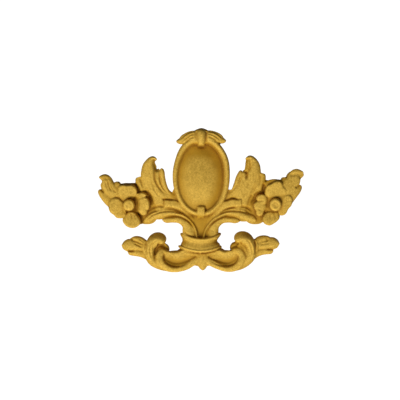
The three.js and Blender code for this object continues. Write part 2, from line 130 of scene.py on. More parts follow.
class Relief:
    def __init__(self):
        self.xs = np.arange(-board["halfWide"], board["halfWide"], board["cell"])
        self.zs = np.arange(-board["halfHigh"], board["halfHigh"], board["cell"])
        self.height = np.zeros((len(self.zs), len(self.xs)))
        self.inside = np.full(self.height.shape, board["beyond"])
        # painted shade laid on the board, browner where positive, paler painted light where negative
        self.paintedShade = np.zeros(self.height.shape)

    def around(self, points, margin):
        # the patch of board round these points
        low, high = np.min(points, 0) - margin, np.max(points, 0) + margin
        columns = slice(*np.searchsorted(self.xs, (low[0], high[0])))
        rows = slice(*np.searchsorted(self.zs, (low[1], high[1])))
        return (rows, columns), *np.meshgrid(self.xs[columns], self.zs[rows])

    def add(self, patch, height, inside):
        # lays a form on the board, where the higher one shows
        mine = inside > 0
        held = self.height[patch]
        held[mine] = np.maximum(held, height)[mine]
        self.inside[patch] = np.maximum(self.inside[patch], inside)

    def along(self, line, margin):
        # for each spot near the line: its place on the line, how far to the left of it, and past its start
        patch, x, z = self.around(line[:, :2], margin)
        nearest = np.full(x.shape, 1e9)
        at = np.zeros(x.shape)
        aside = np.zeros(x.shape)
        for k, (start, end) in enumerate(zip(line[:-1, :2], line[1:, :2])):
            dx, dz = end - start
            u = np.clip(((x - start[0]) * dx + (z - start[1]) * dz) / (dx * dx + dz * dz), 0, 1)
            ex, ez = x - start[0] - u * dx, z - start[1] - u * dz
            gap = ex * ex + ez * ez
            near = gap < nearest
            nearest[near] = gap[near]
            at[near] = (k + u)[near]
            aside[near] = (np.sign(dx * ez - dz * ex) * np.sqrt(gap))[near]
        dx, dz = (line[1] - line[0])[:2]
        past = ((x - line[0, 0]) * dx + (z - line[0, 1]) * dz) / math.hypot(dx, dz)
        return patch, at, aside, np.where(at == 0, past, 99.0)

    def ribbon(self, side, stations, close=10, wall=0.62, full=2.0, lean=0.0):
        # a lobe, stem or band along stations [out, z, half width, height]; its far end is rounded off,
        # and drawn out to a point where `close` is small
        line = flow([[*place(side, out, z), half, high] for out, z, half, high in stations])
        patch, at, aside, past = self.along(line, line[:, 2].max() + 3)
        steps = np.arange(len(line))
        t = at / steps[-1]
        reach = np.maximum(board["leastReach"], np.interp(at, steps, line[:, 2]) * np.sqrt(1 - t**close))
        inside = np.minimum(reach - np.abs(aside), past)
        if close >= board["squareFrom"]:
            travelled = np.append(0, np.cumsum(np.hypot(*np.diff(line[:, :2], axis=0).T)))
            inside = np.minimum(inside, travelled[-1] - np.interp(at, steps, travelled) + board["leastReach"])
        s = np.clip(aside / reach, -1, 1)
        height = np.interp(at, steps, line[:, 3]) * domed(s, wall, full) * (1 + lean * side * s)
        self.add(patch, height, inside)

    def cushion(self, side, out, z, halfAcross, halfUp, high, wall, square=2.5, full=2.0, tilt=(0, 0)):
        # a rounded pad, tilted by so much a millimetre outwards and upwards
        cx, cz = place(side, out, z)
        patch, x, zz = self.around([[cx, cz]], max(halfAcross, halfUp) + 3)
        u, v = x - cx, zz - cz
        reach = (np.abs(u / halfAcross) ** square + np.abs(v / halfUp) ** square) ** (1 / square)
        height = high * domed(np.minimum(reach, 1), wall, full)
        height = height + tilt[0] * (side or 1) * u + tilt[1] * v
        self.add(patch, height, (1 - reach) * min(halfAcross, halfUp))

    def plate(self, outline, high, roll, tilt, wall=0.8, full=2.2):
        # a thin leaf or petal inside a smooth closed outline, rolled over along its rim and tilted by so
        # much a millimetre to the right and upwards
        ring = np.array([*outline[-2:], *outline, *outline[:2]], float)
        line = flow(ring, 6)[12:-12]
        patch, x, z = self.around(line, 4)
        nearest = np.full(x.shape, 1e9)
        within = np.zeros(x.shape, bool)
        for start, end in zip(line, np.roll(line, -1, 0)):
            dx, dz = end - start
            u = np.clip(((x - start[0]) * dx + (z - start[1]) * dz) / (dx * dx + dz * dz + 1e-12), 0, 1)
            nearest = np.minimum(nearest, (x - start[0] - u * dx) ** 2 + (z - start[1] - u * dz) ** 2)
            if start[1] != end[1]:
                crossed = (start[1] > z) != (end[1] > z)
                within ^= crossed & (x < start[0] + (z - start[1]) / (end[1] - start[1]) * dx)
        inside = np.where(within, 1, -1) * np.sqrt(nearest)
        middle = np.mean(line, 0)
        height = high * domed(1 - np.clip(inside / roll, 0, 1), wall, full)
        height = height + tilt[0] * (x - middle[0]) + tilt[1] * (z - middle[1])
        self.add(patch, height, inside)

    def spot(self, x, z, halfAcross, halfUp, reach, sharp):
        # a soft round spot: its patch of board, and how strongly each place belongs to it
        patch, xs, zs = self.around([[x, z]], reach * max(halfAcross, halfUp))
        away = ((xs - x) / halfAcross) ** 2 + ((zs - z) / halfUp) ** 2
        return patch, np.exp(-(away**sharp))

    def dent(self, x, z, halfAcross, halfUp, deep, sharp=1.0):
        # presses a soft hollow
        patch, share = self.spot(x, z, halfAcross, halfUp, 2.6, sharp)
        self.height[patch] -= deep * share

    def shadeSpot(self, x, z, halfAcross, halfUp, strength):
        # a soft patch of painted shade, browner, or of painted light, paler, where the strength is negative
        patch, share = self.spot(x, z, halfAcross, halfUp, 2.2, 1.5)
        self.paintedShade[patch] += strength * share

    def cut(self, side, points, deep, wide, bank=0.0, ends=(0.25, 0.35)):
        # a groove that fades out over the shares `ends` of its length. `bank` lifts its left bank and lowers
        # its right one, as where one leaf lies on another. A negative depth leaves a thin ridge.
        line = flow([place(side, out, z) for out, z in points], 8)
        patch, at, aside, _ = self.along(line, 4 * wide + 3 * abs(bank))
        t = at / (len(line) - 1)
        rise = np.clip(t / max(ends[0], 1e-6), 0, 1)
        fall = np.clip((1 - t) / max(ends[1], 1e-6), 0, 1)
        fade = rise * rise * (3 - 2 * rise) * fall * fall * (3 - 2 * fall)
        trough = deep * np.exp(-((aside / wide) ** 2))
        banks = bank * (side or 1) / 2 * np.sign(aside) * np.exp(-np.abs(aside) / (2.2 * wide))
        self.height[patch] += fade * (banks - trough)

    def cutAll(self, lines):
        for line in lines:
            self.cut(0, *line)


# The cartouche: a domed oval field in a rounded frame, with a peg at its foot.
cartouche = {
    "level": 24.0,       # where the oval is widest
    "power": 2.1,        # a little fuller than an ellipse
    "field": (23.4, 33.4, 35.4),   # half width, reach up and reach down
    "fieldEdge": 7.0,
    "fieldCrown": 14.2,
    "fieldLean": 0.08,   # it falls away a little towards the top right
    "frameInner": (21.8, 32.2, 34.0),
    "frameOuter": (27.8, 38.4, 39.8),
    "frameEdge": 8.4,
    "frameCrown": 13.2,
    "fieldPowers": (2.4, 1.4),    # how flat the middle of the field is, and how softly its border turns down
    "edgeShade": (0.42, 0.45, 0.5),  # painted shade round its border: strength, where it begins, how far it grows
    "edgeShadeShift": (2, 5),        # the painted shade is broader at the top right, where the dome turns from the lamp
    "frameShift": (0.2, 0.55, 40, 10),   # to the right, and more about this height over this reach
    "frameFullness": (1.3, 2.4),  # on its inner and outer side
}


def ovalShare(x, z, half, up, down):
    # 1 on the oval, 0 in its middle
    v = (z - cartouche["level"]) / np.where(z > cartouche["level"], up, down)
    power = cartouche["power"]
    return (np.abs(x / half) ** power + np.abs(v) ** power) ** (1 / power)


def layCartouche(relief):
    patch, x, z = relief.around([[0, 24]], 46)
    share = ovalShare(x, z, *cartouche["field"])
    rise = cartouche["fieldCrown"] - cartouche["fieldEdge"]
    flat, soft = cartouche["fieldPowers"]
    dome = cartouche["fieldEdge"] + rise * np.maximum(0, 1 - np.minimum(share, 1) ** flat) ** soft
    dome = dome - cartouche["fieldLean"] * (x + z - cartouche["level"])
    relief.add(patch, dome, (1 - share) * cartouche["field"][0])
    # painted shade: the field's border is browner than its middle
    strength, begins, grows = cartouche["edgeShade"]
    right, up = cartouche["edgeShadeShift"]
    lower = ovalShare(x + right, z + up, *cartouche["field"])
    onField = np.clip((1.02 - share) / 0.06, 0, 1)
    relief.paintedShade[patch] += strength * np.clip((lower - begins) / grows, 0, 1) * onField
    shift, more, about, over = cartouche["frameShift"]
    leaning = x - shift - more * np.exp(-(((z - about) / over) ** 2))
    away = np.hypot(leaning, z - cartouche["level"]) + 1e-6
    within = away * (1 - 1 / ovalShare(leaning, z, *cartouche["frameInner"]))
    without = away * (1 / ovalShare(leaning, z, *cartouche["frameOuter"]) - 1)
    across = np.clip(2 * within / np.maximum(within + without, 1e-6) - 1, -1, 1)
    rise = cartouche["frameCrown"] - cartouche["frameEdge"]
    fullness = np.where(across < 0, *cartouche["frameFullness"])
    tube = cartouche["frameEdge"] + rise * (1 - np.abs(across) ** fullness) ** (1 / fullness)
    relief.add(patch, tube, np.minimum(within, without))


cartoucheLines = [
    ([[-19, -6], [-15, -10.6], [-10, -14.4], [-5, -16.4]], 1.3, 2.0),
    ([[5, -16], [10, -14], [13, -11], [16.6, -7.4], [20, -3.6]], 1.2, 0.9),
]


def layPeg(relief):
    relief.cut(0, [[4.8, -7], [4.7, -10], [4.4, -13], [4.2, -16]], 1.6, 1.1, ends=(0.3, 0.3))
    relief.ribbon(0, [
        [-0.3, -17.2, 3.2, 10.4], [-0.4, -13.4, 3.4, 13.4], [-0.3, -10, 3.5, 13.8]], wall=0.8, full=2.6)
    relief.cushion(0, 0.1, -10.2, 3.8, 4.3, 14.4, square=7, wall=0.78, full=3)


# The ribbon bow on top, and the knot that stands up through it.
def layBow(relief, side):
    relief.ribbon(side, [
        [2, 60.6, 6.4, 13], [9, 61, 6.1, 13.8], [15.5, 59.2, 5, 12.6], [20, 57.2, 3.2, 11.4],
        [24, 56.8, 1.5, 10.4]], close=14, wall=0.66, full=2.4)
    # its folds fan out from the knot
    for points in ([[7, 66], [12, 65.2], [17, 61.8], [21, 58]],
                   [[6.6, 64], [10.6, 62.8], [14.6, 60], [18.2, 56.6]],
                   [[6.6, 61.4], [10, 60.2], [13, 58], [15.4, 55.6]]):
        relief.cut(side, points, 1.5, 0.75, ends=(0.15, 0.3))


def layKnot(relief):
    relief.cut(1, [[-5.4, 66.5], [-5, 62], [-5, 57]], 0.7, 1.0, ends=(0.3, 0.3))
    relief.dent(0.6, 51.4, 3.6, 1.6, 1.2)
    relief.cut(1, [[5.4, 67], [5.1, 62], [5.2, 55]], 1.7, 0.9, ends=(0.1, 0.2))
    relief.ribbon(1, [
        [0.2, 52.8, 3.4, 13.5], [0.3, 57, 4.1, 16], [0.4, 63, 4.4, 17], [0.4, 67, 5, 15.6],
        [0.4, 69.4, 4.2, 12.6]], close=6)
    relief.ribbon(1, [
        [-6.6, 65.6, 1.4, 11.4], [-3.6, 67, 1.7, 12.6], [0.4, 67.6, 2.1, 14.2], [4.2, 67, 1.7, 12.6],
        [7, 65.6, 1.4, 11.4]], close=12)


# The plain ground that ties the carving together.
def layGround(relief, side):
    ground = board["ground"]
    for at, out, z, halfAcross, halfUp, more in (
        (side, 65, -6.4, 11.4, 13.6, 0), (side, 52.6, -12.4, 10.6, 11.2, 0), (side, 71, 6.6, 10, 10, 0),
        (side, 40, -48, 7.6, 7.6, 0.6), (side, 27.4, 3.2, 3.6, 3, 2), (0, 41.6, -17.4, 7, 3.6, 1),
        (0, -41, -15.6, 5.6, 3.4, 1), (0, -60, -18.6, 6, 5, 0), (0, 28, 6.8, 4, 3.4, 2),
        (0, 63, 16, 3, 3.6, 0), (0, 17, 55.4, 2, 2, 0), (0, -25.8, 6, 2, 4.6, 2),
    ):
        relief.cushion(at, out, z, halfAcross, halfUp, ground + more, wall=1)
    relief.ribbon(side, [[8, -10, 10, 8.4], [24, -4, 8, 8.6], [38, -2, 9, 8.4]], close=30, wall=1)
    relief.ribbon(side, [[36, -1, 10, ground], [56, 3.4, 12.4, ground], [72, 4, 12.2, ground],
                         [86, 3, 9, ground]], close=30, wall=1)


# The big leaf beside the cartouche: a broad blade with a furled tip and a lobe on each side.
def layBigLeaf(relief, side):
    relief.ribbon(side, [
        [50, 4.6, 3.4, 7.6], [55.6, 11, 4.2, 8.8], [59.4, 17, 4.1, 9.4], [60, 22.4, 4.2, 9]], full=2.4)
    relief.ribbon(side, [[34, -8, 10.5, 8.8], [41.4, 5.6, 7.4, 9.6], [49.4, 19, 8.3, 10.2],
                         [50.3, 29.5, 7.5, 10.8], [48.6, 35.8, 5.9, 11.4], [46.4, 39.4, 3.7, 11.6],
                         [42.8, 39.6, 1.3, 11.4]], close=14, lean=0.05, full=2.6)
    relief.ribbon(side, [
        [25.4, 2.6, 2.6, 8.5], [32.2, 7.8, 2.4, 9.6], [35.4, 13.8, 2.5, 10.2], [37.2, 21.5, 2.5, 10.6],
        [37.8, 27.2, 2.5, 10.6], [38.4, 30.8, 2.1, 9.8]], wall=0.7)
    relief.ribbon(side, [
        [26, 1.8, 2, 8.5], [34, 6, 2.2, 9.6], [39.3, 12.6, 2.5, 10.2], [41.9, 20, 2.7, 10.6],
        [42.2, 26.6, 2.5, 10.2], [41, 30.4, 1.5, 9.4]], wall=0.76)
    # the furled tip falls away on its inner side
    relief.cut(side, [[41.6, 27], [43.6, 31], [45, 35.5], [44.4, 39.6]], 4.2, 2.6, ends=(0.3, 0.05))


leafLines = [  # grooves of the big leaves: points, depth, width and, where it isn't 0, bank
    ([[-44.6, 30], [-45, 26], [-44.5, 20], [-41, 13], [-36, 7.5], [-31, 4.5]], 2.0, 0.9, 0.6),
    ([[-39.6, 28], [-39.6, 20], [-38, 14], [-35, 9.5], [-31.5, 6]], 1.5, 0.9),
    ([[-48.4, 21], [-46.5, 13], [-43, 6.5], [-38, 1.5]], 0.9, 0.7),
    ([[-52, 22], [-50.5, 14], [-47.5, 7], [-43, 1]], 0.5, 0.8),
    ([[-59.4, 22.5], [-57.4, 16.5], [-55.4, 10]], 1.4, 0.9, 0.8),
    ([[42.6, 28.6], [44.6, 26], [44.6, 23], [43.4, 19.5]], 2.6, 1.1),
    ([[53.8, 27], [53.6, 20], [51, 12], [46, 4]], 0.7, 0.8),
    ([[57.6, 25], [57.4, 19], [55.6, 12]], 1.3, 0.9),
    ([[35.6, 16], [33, 12], [29.5, 8], [26, 4]], 1.0, 0.9),
    ([[38.6, 24], [37.4, 18.6], [34, 12.6], [30, 8]], 0.7, 0.6),
    ([[41.4, 22], [40.8, 17], [37.4, 10.6], [32.6, 5.6]], 0.7, 0.6),
    ([[48.8, 38.4], [47.8, 34], [45.8, 29], [44.6, 24.6]], 0.9, 0.8, -0.6),
    ([[48.8, 31], [48.4, 23], [45.4, 14], [41, 6.6]], 0.5, 0.6),
    ([[51.4, 30], [51.2, 22], [48.6, 13.6], [44.4, 6.6]], 0.5, 0.5),
    ([[56, 24], [55, 17], [52, 9.6], [49, 4.6]], 0.6, 0.5),
    ([[-50, 30], [-48.4, 23], [-46, 16]], 0.4, 0.5),
    ([[-54, 18], [-52, 11], [-48.4, 4.6]], 0.5, 0.5),
    ([[50.4, 39.4], [50.2, 35.6], [47.8, 31.4], [45.4, 27]], 0.9, 0.9, -1.0),
    ([[44.8, 40.4], [44.2, 36.6], [44.6, 32.6], [43.6, 29]], 1.6, 1.0),
]


# The outer leaf behind the blossom, with its hooked tip and two side lobes.
def layOuterLeaf(relief, side):
    relief.ribbon(side, [
        [80, -9, 5, 10.6], [89.2, -0.6, 5, 11], [94.6, 4.8, 4.1, 10.2], [99.2, 9.8, 2.7, 9]], full=2.6)
    relief.ribbon(side, [[76, 6, 4.4, 9.4], [80.8, 12.6, 4.2, 9.8], [82.4, 17.6, 3.4, 8.8]], close=20)
    relief.ribbon(side, [
        [74, -4, 8, 11], [84, 5.5, 7.8, 11.6], [90, 13, 7.1, 11.4], [92, 18.8, 5.8, 11],
        [94.2, 21.4, 4.2, 10.6], [99, 22.2, 1.5, 10]], close=14, full=2.4, wall=0.62 if side < 0 else 0.8)


def fillStrap(relief):
    # the right strap reaches further out
    relief.ribbon(0, [[33, -2.8, 3.6, 11], [39.2, -2.8, 3.5, 10.8]], close=60, wall=0.86, full=3)


def fillScroll(relief):
    # on the right side the groove between the head of the scroll and the band is partly filled
    relief.ribbon(0, [
        [36.4, -42.6, 2.6, 10.8], [39.6, -45, 3, 10.6], [42.4, -49, 3.2, 10.8], [43.8, -54, 3, 10.8],
        [43, -60, 2.2, 10.4]], wall=0.86)


def squareTips(relief):
    # on the right side the tips of the big leaf and of the outer leaf are blunter
    relief.ribbon(0, [[44.8, 27, 3, 9.4], [45.4, 31, 2.8, 10], [46, 36, 2.8, 10.4], [46.4, 40, 3, 9.6]])
    relief.ribbon(0, [[92.6, 17, 2.6, 9.6], [94.4, 22, 2.8, 9.6], [99.6, 25.3, 2, 9.2]])
    relief.ribbon(0, [[84.4, 17, 2.8, 8.6], [87, 22.8, 4, 9.4], [90.4, 25.6, 3.6, 9.6]])


outerLeafLines = [
    ([[-92.8, 18], [-91.6, 13.5], [-89.6, 9]], 1.1, 0.6),
    ([[-90.6, 19.5], [-88.8, 13], [-85.6, 7.8]], 1.7, 0.8, 0.8),
    ([[-87.4, 16], [-86.2, 12], [-83.6, 8.2], [-81.6, 8]], 1.2, 0.6),
    ([[-98, 11.5], [-96, 9.6], [-93.6, 6.8]], 2.2, 1.0),
    ([[91.6, 11.6], [93.6, 13.4], [96.4, 15.6]], 2.2, 0.9),
    ([[87.6, 22.6], [88.4, 17], [87, 11]], 0.4, 0.6),
    ([[90.6, 23], [91, 17.6], [89.4, 12]], 0.3, 0.6),
    ([[-88, 22], [-90.5, 20], [-94.5, 22]], 0.8, 1.4),
    ([[85.5, 24.5], [91, 24.6], [97, 26]], 0.9, 1.6),
]


# The blossoms: plates [outline, height, roll, tilt to the right, tilt upwards] that lie over one another
# in this order, hollows [x, z, half width, half height, depth] beside the buds, and the buds themselves.
blossoms = {
    "beds": [[-66, -4, 8, 9, 8.8], [69.6, -3.4, 10, 10, 10.2], [83, 10, 5, 6, 11.4]],
    "plates": [
        # left: behind the top petal, then the petals, from the back to the front
        ([[-83.4, 17], [-79.6, 17.2], [-76.4, 13], [-79.6, 8.4], [-84.6, 8.6], [-86.4, 12.6]], 10.4, 3.0,
         0.1, 0),
        ([[-80.4, 13.6], [-78.6, 15.6], [-75.6, 16.2], [-72.8, 16.6], [-71, 15.4], [-68, 15.8], [-64.6, 15.4],
          [-63.4, 13], [-66, 6], [-78, 6]], 8.8, 1.2, 0, 0),
        ([[-80.6, 9.6], [-79.6, 13.4], [-76, 15], [-71.4, 14.3], [-67.2, 14.6], [-63.4, 12.6], [-61.9, 9],
          [-62.4, 4.6], [-66, 1.4], [-71, -1], [-76, 0], [-81, 4.4]], 12.7, 2.4, 0, 0.14),
        ([[-89.4, -3.6], [-87, 1], [-83, 2.2], [-79.4, 1.6], [-75.6, -1.4], [-73, -6], [-72.4, -11],
          [-72.6, -15], [-76, -17.6], [-81.6, -17.4], [-84.6, -14.6], [-88, -12], [-89.6, -8]], 12.6, 3.0,
         -0.1, 0.02),
        ([[-64.6, 4.6], [-61, 6.8], [-57, 7.6], [-53.4, 6.4], [-53.2, 3.8], [-56, 0], [-64, -2]], 11.4, 2.2,
         0.12, 0.14),
        ([[-62, -0.6], [-57.6, 2.4], [-53.4, 2.6], [-50.6, 0], [-49.8, -4.2], [-50.2, -8], [-52, -10.4],
          [-52.6, -13.4], [-56.4, -14.8], [-60.4, -12.6], [-62.4, -7]], 12.6, 2.4, 0.2, 0.02),
        ([[-70.6, -11.4], [-66.4, -11], [-63, -12.8], [-60, -16.6], [-58.4, -21], [-60, -24.4], [-65, -27.2],
          [-71, -26.2], [-75, -22.6], [-76, -18.8], [-73.4, -14.4]], 12.8, 2.6, 0, -0.16),
        # right
        ([[61.4, 15], [63.4, 18.4], [67, 19.8], [71, 20.4], [76, 19.9], [80.6, 19], [82, 14], [78, 8],
          [66, 8]], 9.0, 1.2, 0, 0),
        ([[62, 5], [62.2, 10], [64.2, 14], [68.6, 16.2], [71.4, 18], [75.6, 18.6], [78.8, 16.6], [80, 13.2],
          [82.8, 10.6], [83, 6.6], [79, 3.6], [73, 1.6], [66, 2]], 12.6, 2.4, 0, 0.12),
        ([[78.8, 2.6], [82, 4.8], [85.6, 5], [88, 2.8], [88.8, -1.6], [87.4, -5.8], [84.6, -9], [82.6, -13],
          [79.6, -15], [76, -14.4], [74.4, -10], [76.6, -4]], 12.6, 2.6, 0.12, 0),
        ([[53.6, 1.2], [55.2, 4.8], [59.4, 6], [63, 4.4], [64.6, 0], [63, -4], [56, -5]], 12.2, 2.4, -0.06,
         0),
        ([[51.2, -4.8], [52.4, -2.2], [55.4, -0.9], [59.4, -1.5], [63.2, -3.6], [63.8, -7], [61.6, -11],
          [59.8, -14.4], [56.6, -15.6], [53.8, -13.8], [53.4, -10.6], [51.8, -8]], 12.4, 2.4, -0.16, 0),
        ([[62.8, -12.4], [66.4, -11.2], [70, -11.6], [74.2, -11.2], [76.4, -15], [75.4, -19], [71.4, -22.4],
          [66.4, -24.8], [61.4, -22.8], [59.8, -18.4], [61, -14.6]], 12.6, 2.6, 0, -0.14),
    ],
    "hollows": [
        [-62.4, -4.6, 3.0, 6.6, 3.4], [-66.8, 1.6, 4.4, 2.2, 2.4], [-61, -13.4, 2.6, 2.4, 1.4],
        [65, -3.6, 2.2, 5, 1.2], [71.6, 2.8, 5, 1.4, 0.7], [63.2, -10.6, 2.2, 1.6, 1.4],
    ],
    "buds": [[-69.8, -4.8, 5.6, 5.6], [72.2, -4.4, 5.7, 6.2]],
    "budCrown": 17.3,
}


def layBlossoms(relief):
    for x, z, across, up, high in blossoms["beds"]:
        relief.cushion(0, x, z, across, up, high, wall=0.9)
    for outline, high, roll, *tilt in blossoms["plates"]:
        relief.plate(outline, high, roll, tilt)
    for x, z, across, up, deep in blossoms["hollows"]:
        relief.dent(x, z, across, up, deep, sharp=1.6)
    for x, z, across, up in blossoms["buds"]:
        relief.cushion(0, x, z, across, up, blossoms["budCrown"], square=2, wall=0.74, full=3.4)
    relief.cutAll(petalLines)
    relief.dent(72.6, -5.6, 2.6, 2.8, 1.6)
    relief.cut(0, [[70, -8.6], [69.2, -4.6], [71.6, -2], [74.4, -3.6], [73.8, -6.4], [72, -6]], 0.8, 0.6)
    relief.dent(-71.6, -5.2, 0.8, 0.8, 0.9)
    relief.cut(0, [[-72.6, -8.4], [-69.4, -9], [-67, -6], [-68.4, -2.6], [-71.6, -2.4]], 0.6, 0.6)


petalLines = [
    ([[-74.6, -1.6], [-77, -0.2], [-79.4, 2.2], [-83, 2.9], [-86.4, 2]], 1.6, 0.6),
    ([[-71.6, 14.6], [-71.6, 11.4], [-71, 8]], 0.5, 0.8),
    ([[-76, -7], [-75.6, -10], [-73.4, -13], [-71.6, -14.2]], 0.6, 0.7),
    ([[-67.2, -12.6], [-67, -15.4], [-67.4, -19]], 1.2, 0.8),
    ([[-65, -13.4], [-63.6, -16.4], [-63, -19.4]], 0.7, 0.7),
    ([[-69.6, -13.4], [-70.8, -16.4], [-71, -19]], 0.5, 0.7),
    ([[-49.6, -1], [-52.4, 0], [-55, -0.8]], 0.6, 0.7),
    ([[-49.6, -9.4], [-52, -9.6], [-55, -8.4]], 1.0, 0.8),
    ([[-62, 3.6], [-59.6, 6.4], [-57.4, 7]], 0.7, 0.7),
    ([[67.6, -12], [67.4, -15], [67.8, -19.4]], 0.9, 0.9),
    ([[71.4, -12], [72, -15.6], [71.6, -19.4]], 0.8, 0.8),
    ([[64.6, -12.4], [63.6, -15], [63.6, -18]], 0.5, 0.8),
    ([[70.4, 4.4], [70.6, 7.6], [70, 10.6]], 0.5, 0.9),
    ([[75.4, 18.6], [75, 15.6], [75.6, 12]], 0.5, 0.8),
    ([[53.4, -9.4], [56, -9], [59.4, -10.4]], 0.7, 0.8),
    ([[53.6, 0.4], [57, -0.6], [61.6, -0.4]], 0.9, 0.8),
    ([[88.4, -0.4], [85.6, -0.6], [82.6, -1.4]], 0.5, 0.8),
    # the shadows beside the petals, where they stand clear of the leaves
    ([[-67, 16], [-62.6, 14.2], [-60.4, 10.4], [-59.6, 6.4]], 2.6, 1.3),
    ([[-58.6, 8.8], [-53.4, 8], [-50, 5], [-48, 0.4], [-47.4, -6.4]], 3.4, 1.5),
    ([[-62.4, -11.6], [-58.6, -15.6], [-56.8, -20], [-57, -23]], 2.0, 1.6),
    ([[61.6, 17.4], [60.8, 13], [60.8, 8.6], [61.6, 6]], 2.4, 1.1),
    ([[61.6, 7.6], [57, 7.6], [53, 5.4], [51.8, 1.6], [49.6, -1.4], [49.2, -6]], 2.6, 1.2),
]


# The stems that fan out of the collar, from the square-ended strap down to the lower leaf.
def layStems(relief, side):
    relief.ribbon(side, [
        [7, -21, 2, 8], [13, -13.6, 2.8, 9.8], [20.5, -6.8, 3.6, 10.6], [28, -3.4, 3.8, 11],
        [35.6, -3.2, 3.6, 11]], close=60, wall=0.86, full=3)
    relief.ribbon(side, [
        [6.4, -38, 1.6, 9.4], [8.8, -28, 1.8, 9.6], [13.6, -21, 2, 10], [19.4, -15.8, 2.4, 10.4],
        [27, -12.9, 2.9, 10.4], [36, -13.4, 4, 10], [44.4, -14.9, 3.9, 9.4], [51, -18.6, 4.4, 8.8],
        [56, -20.8, 3.2, 8]])
    relief.ribbon(side, [
        [10.4, -38, 5.8, 11.6], [11.6, -30.5, 6.4, 10.6], [14, -23.8, 4.8, 10.6], [20, -19.4, 3.7, 10.6],
        [27.5, -18.7, 3.3, 10.2], [33.5, -19.1, 3.4, 9.6], [37.4, -19.2, 2.2, 9]], close=12)


stemRidges = [  # thin raised borders: stations of points, half width and height
    [[-4.2, -38, 1.3, 12.4], [-4.5, -32, 1.2, 11], [-5.6, -28, 1.2, 10.4], [-8.2, -23.4, 1.3, 10.8],
     [-12.6, -18.6, 1.5, 11.4], [-16, -16.2, 1.6, 11.6], [-20, -14.4, 1.6, 11.6], [-25, -13.6, 1.6, 11],
     [-30, -13.2, 1.4, 10.6], [-35.6, -14.6, 1.1, 10.2]],
    [[2.4, -38, 1.5, 12.4], [3.1, -33.4, 1.4, 11.2], [4.6, -29, 1.3, 10.4], [7.8, -24, 1.3, 10.8],
     [11, -20.2, 1.4, 11.2], [14.6, -17.2, 1.5, 11.6], [19, -14.8, 1.6, 11.6], [24, -13.2, 1.5, 11],
     [30, -12.6, 1.3, 10.6], [36, -13.6, 1.1, 10.2]],
]
stemLines = [
    # over the ridges
    ([[-38, -8.2], [-32, -8.4], [-28, -8.6], [-24, -9.2], [-20.4, -10.6], [-17, -12.6], [-14, -15],
      [-11, -18]], 1.7, 1.1),
    ([[-27, -9.4], [-22, -10.8], [-17, -13.6], [-12, -17], [-8, -21]], 0.9, 2.2),
    ([[-53.4, -21], [-51, -18.2], [-47, -14.6], [-40, -12], [-33, -11], [-27, -11.1], [-23.6, -12]],
     1.6, 0.6),
    ([[39, -6.2], [33, -6.7], [30, -7.1], [27, -7.9], [24, -9], [21, -10.4], [18, -12.4]], 2.4, 0.85),
    ([[48.4, -17], [45.4, -13.8], [40.6, -11.6], [35, -10.9], [30, -10.6], [26, -10.8], [23, -11.8],
      [20, -13.2], [16, -15.6], [12.6, -18], [9, -21.4]], 1.6, 0.6),
    ([[47.6, -14.4], [44, -10], [38, -8.4], [32, -8.2]], 0.9, 0.6),
    # under them
    ([[-37, -16.4], [-30, -15.2], [-24, -15.5], [-20, -16.2], [-16.6, -17.8], [-13, -20], [-10, -22.6],
      [-7.6, -25.8], [-6.2, -29.4]], 2.8, 0.75),
    ([[35.6, -15.6], [28, -14.6], [24.6, -15.2], [21.4, -16.2], [17.6, -18], [14.4, -19.8], [11.6, -22.2],
      [8.8, -25.4], [6.8, -29], [5.8, -33]], 2.8, 0.75),
    ([[-36, -17], [-30, -16.4], [-24, -16.6]], 1.0, 1.3),
    ([[38, -16.6], [31, -16], [24, -16.8]], 1.0, 1.3),
    ([[-16, -19.6], [-13, -21.6], [-9.6, -24.8], [-7.4, -28.4], [-6.2, -32]], -0.5, 0.5),
    ([[16, -20.6], [13.6, -22.2], [10.4, -25.2], [8.2, -28.6], [7.2, -32]], -0.5, 0.5),
    ([[7.4, -26], [6.6, -31], [6.6, -37]], 0.6, 1.1),
    # the hollows between the stems and the leaves above them
    ([[-34.6, -7], [-40, -5.8], [-46, -7.2], [-52, -11.6]], 1.8, 1.1),
    ([[36, -6.2], [42, -6.6], [47, -8.6], [50, -12]], 2.0, 1.3),
    # along the top of the straps and round their ends
    ([[-38.6, 1.2], [-35, 1], [-31, 0.4], [-28, 0.2], [-25.4, -0.4]], 2.4, 0.75),
    ([[-36.4, 1.6], [-35.8, -2], [-36.4, -6.4]], 1.6, 0.6),
    ([[23, -2.4], [25, -0.4], [27, 0.4], [30, 1.8], [33, 1.6], [36, 0.6], [38.6, 2.4]], 2.4, 0.8),
]


# The collar that gathers the stems: a turned ring whose rims dip towards the middle.
collar = {
    "top": -29.6,
    "sag": (7.0, 5.2),   # how far the top rim and the foot dip at the middle
    "offset": -0.5,
    "widest": 21.8,
    "crown": 14.5,
    "flat": 2.0,
    # [down, how far it reaches to the left, and to the right]
    "profile": [[0, 17.6, 18.2], [0.5, 18.8, 19.2], [1.2, 19.6, 19.9], [2.4, 19.8, 20.2], [3.3, 19.5, 19.7],
                [4.2, 18.7, 18.6], [5.6, 17.8, 16.9], [7.2, 17.6, 15.9], [9, 18, 16.9], [11.2, 18.9, 18.7],
                [12.6, 19.3, 19.1], [13.1, 19.0, 18.9], [13.6, 20.4, 19.7], [14.3, 21.5, 20.4],
                [15.2, 21.8, 20.8], [16.0, 21.4, 20.7], [16.4, 20.6, 20.2]],
}


